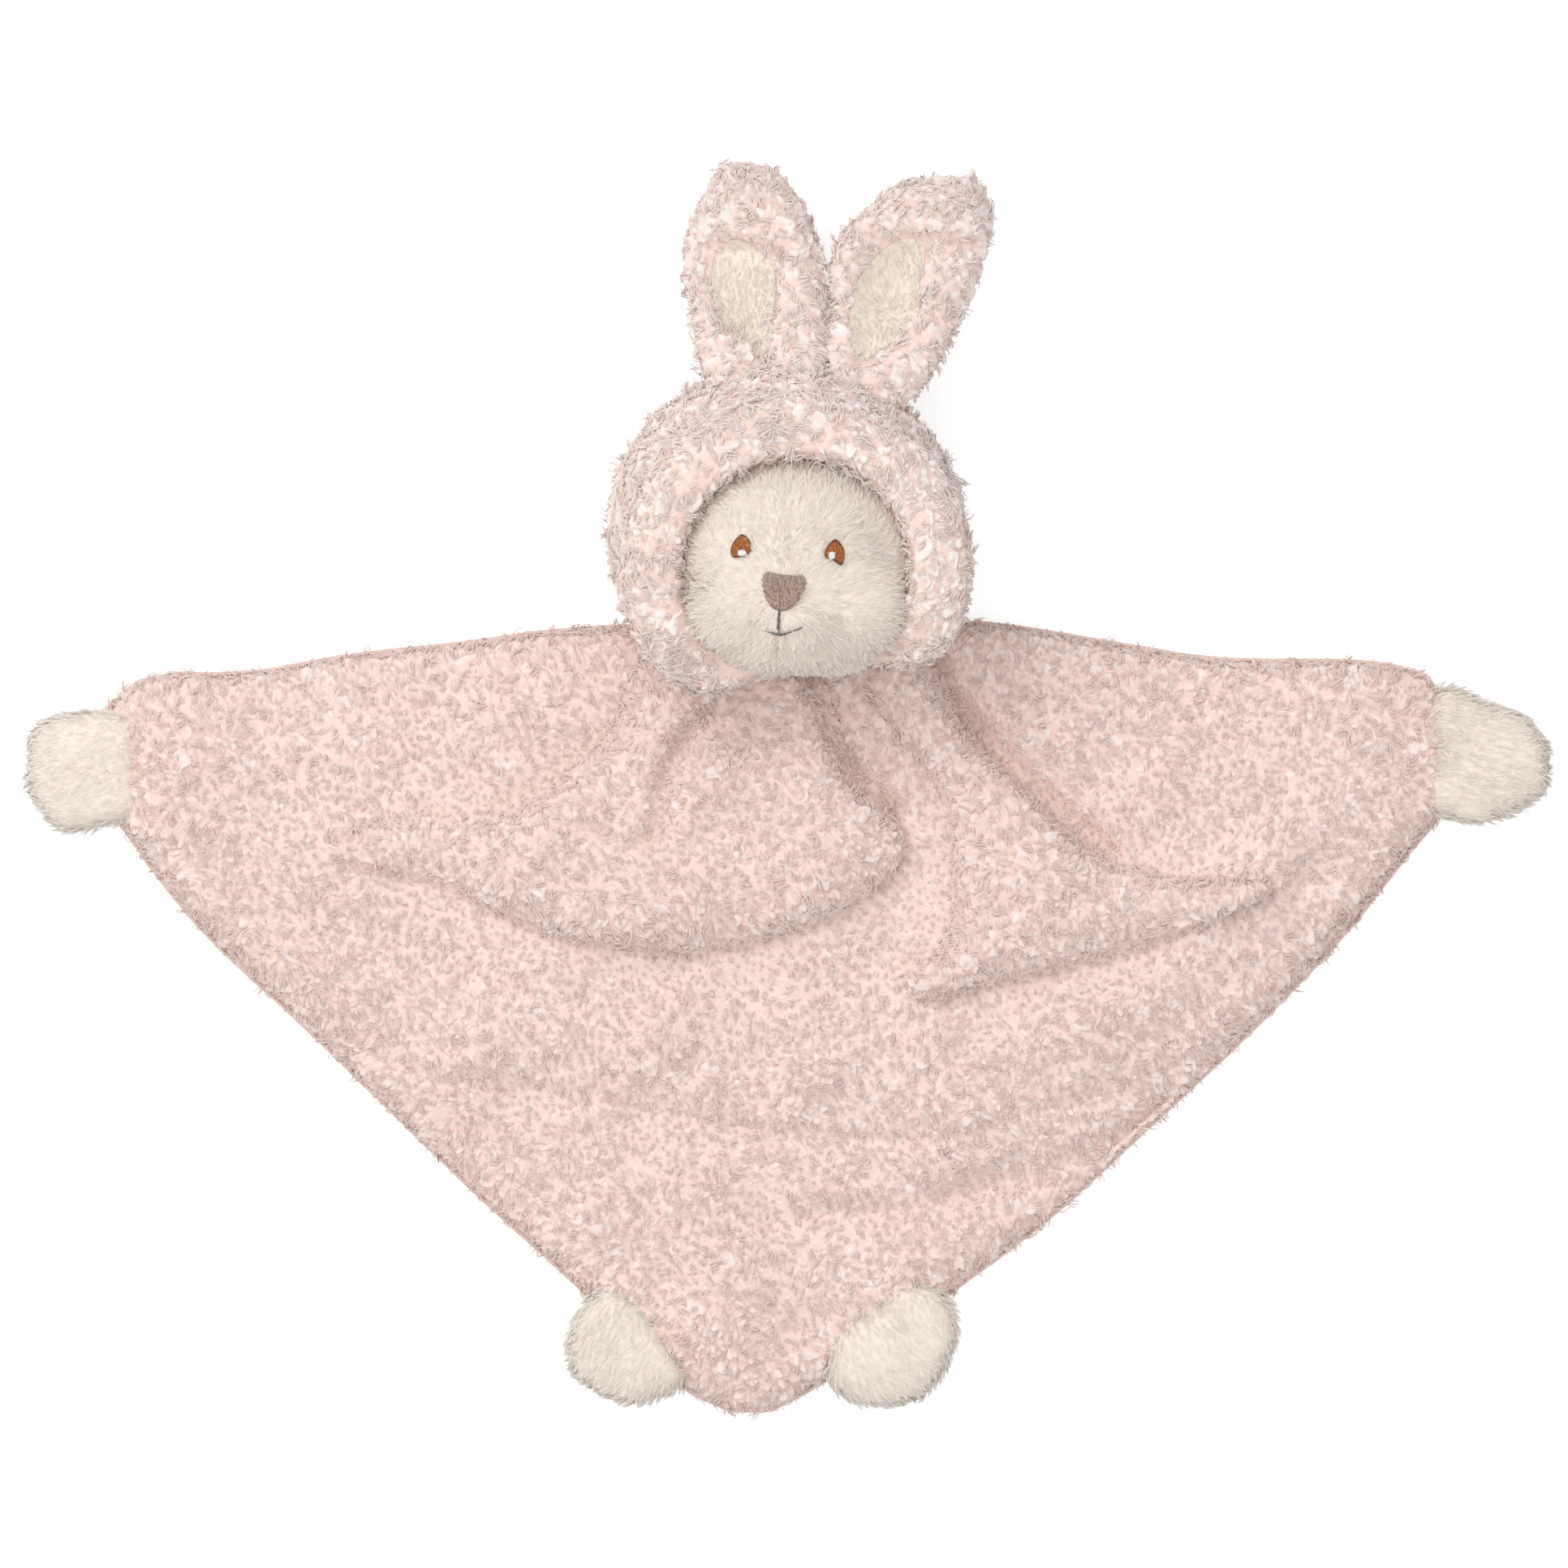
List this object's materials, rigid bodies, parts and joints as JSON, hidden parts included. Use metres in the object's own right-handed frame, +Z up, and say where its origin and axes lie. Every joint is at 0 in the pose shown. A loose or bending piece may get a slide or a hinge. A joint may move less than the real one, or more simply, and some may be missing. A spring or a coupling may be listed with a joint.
{
  "type": "comfort blanket",
  "caption": "Flat comfort blanket of curly pink pile with a stuffed head in an eared hood, short-pile paws at the upper corners and feet at the lower corner.",
  "frame": {"origin": "on the underside of the back panel, below the middle of the neck line, with the toy lying on its back", "axes": "+X towards the right paw as seen from above, along the span from paw to paw; +Y towards the ears; +Z up, out of the face"},
  "size_m": [0.4026, 0.3298, 0.0823],
  "materials": {
    "pink_sherpa": "matte",
    "cream_plush": "matte",
    "cream_lining": "matte",
    "white_filling": "matte",
    "pink_thread": "matte",
    "cream_thread": "matte",
    "brown_thread": "matte",
    "white_thread": "matte",
    "taupe_thread": "matte",
    "grey_thread": "matte"
  },
  "bodies": {
    "blanket": {"blanket_front": "pink_sherpa", "blanket_back": "cream_plush", "blanket_seam": "pink_thread"},
    "head": {"neck_seam": "pink_thread", "head_filling": "white_filling", "hood_back": "pink_sherpa", "hood_front": "pink_sherpa", "hood_seam": "pink_thread", "face_panel": "cream_plush", "eye_left": "brown_thread", "eye_left_glint": "white_thread", "eye_right": "brown_thread", "eye_right_glint": "white_thread", "nose": "taupe_thread", "philtrum_stitch": "grey_thread", "mouth_stitch": "grey_thread", "chin_stitch": "cream_thread"},
    "ear_left": {"ear_left_outer": "pink_sherpa", "ear_left_lining": "cream_lining", "ear_left_seam": "pink_thread"},
    "ear_right": {"ear_right_outer": "pink_sherpa", "ear_right_lining": "cream_lining", "ear_right_seam": "pink_thread"},
    "arm_left": {"arm_left_cover": "cream_plush", "arm_left_filling": "white_filling", "arm_left_seam": "cream_thread"},
    "arm_right": {"arm_right_cover": "cream_plush", "arm_right_filling": "white_filling", "arm_right_seam": "cream_thread"},
    "foot_left": {"foot_left_cover": "cream_plush", "foot_left_filling": "white_filling", "foot_left_seam": "cream_thread"},
    "foot_right": {"foot_right_cover": "cream_plush", "foot_right_filling": "white_filling", "foot_right_seam": "cream_thread"}
  },
  "joints": [
    {"name": "head_lift", "type": "hinge", "parent": "blanket", "child": "head", "pos_m": [0.0005, -0.00244, 0.028], "axis": [1, 0, 0], "range_deg": [0, 60]},
    {"name": "ear_left_fold", "type": "hinge", "parent": "head", "child": "ear_left", "pos_m": [-0.0098, 0.08434, 0.0523], "axis": [0.9755, 0.2198, 0], "range_deg": [0, 100]},
    {"name": "ear_right_fold", "type": "hinge", "parent": "head", "child": "ear_right", "pos_m": [0.026, 0.07823, 0.0523], "axis": [0.8275, -0.5615, 0], "range_deg": [0, 100]},
    {"name": "arm_left_lift", "type": "hinge", "parent": "blanket", "child": "arm_left", "pos_m": [-0.1805, -0.02017, 0.0095], "axis": [-0.087, 0.9962, 0], "range_deg": [0, 70]},
    {"name": "arm_right_lift", "type": "hinge", "parent": "blanket", "child": "arm_right", "pos_m": [0.17886, -0.01586, 0.0095], "axis": [-0.0232, -0.9997, 0], "range_deg": [0, 70]},
    {"name": "foot_left_lift", "type": "hinge", "parent": "blanket", "child": "foot_left", "pos_m": [-0.04068, -0.17415, 0.0075], "axis": [-0.677, 0.736, 0], "range_deg": [0, 70]},
    {"name": "foot_right_lift", "type": "hinge", "parent": "blanket", "child": "foot_right", "pos_m": [0.02843, -0.17217, 0.0075], "axis": [-0.807, -0.5906, 0], "range_deg": [0, 70]}
  ]
}
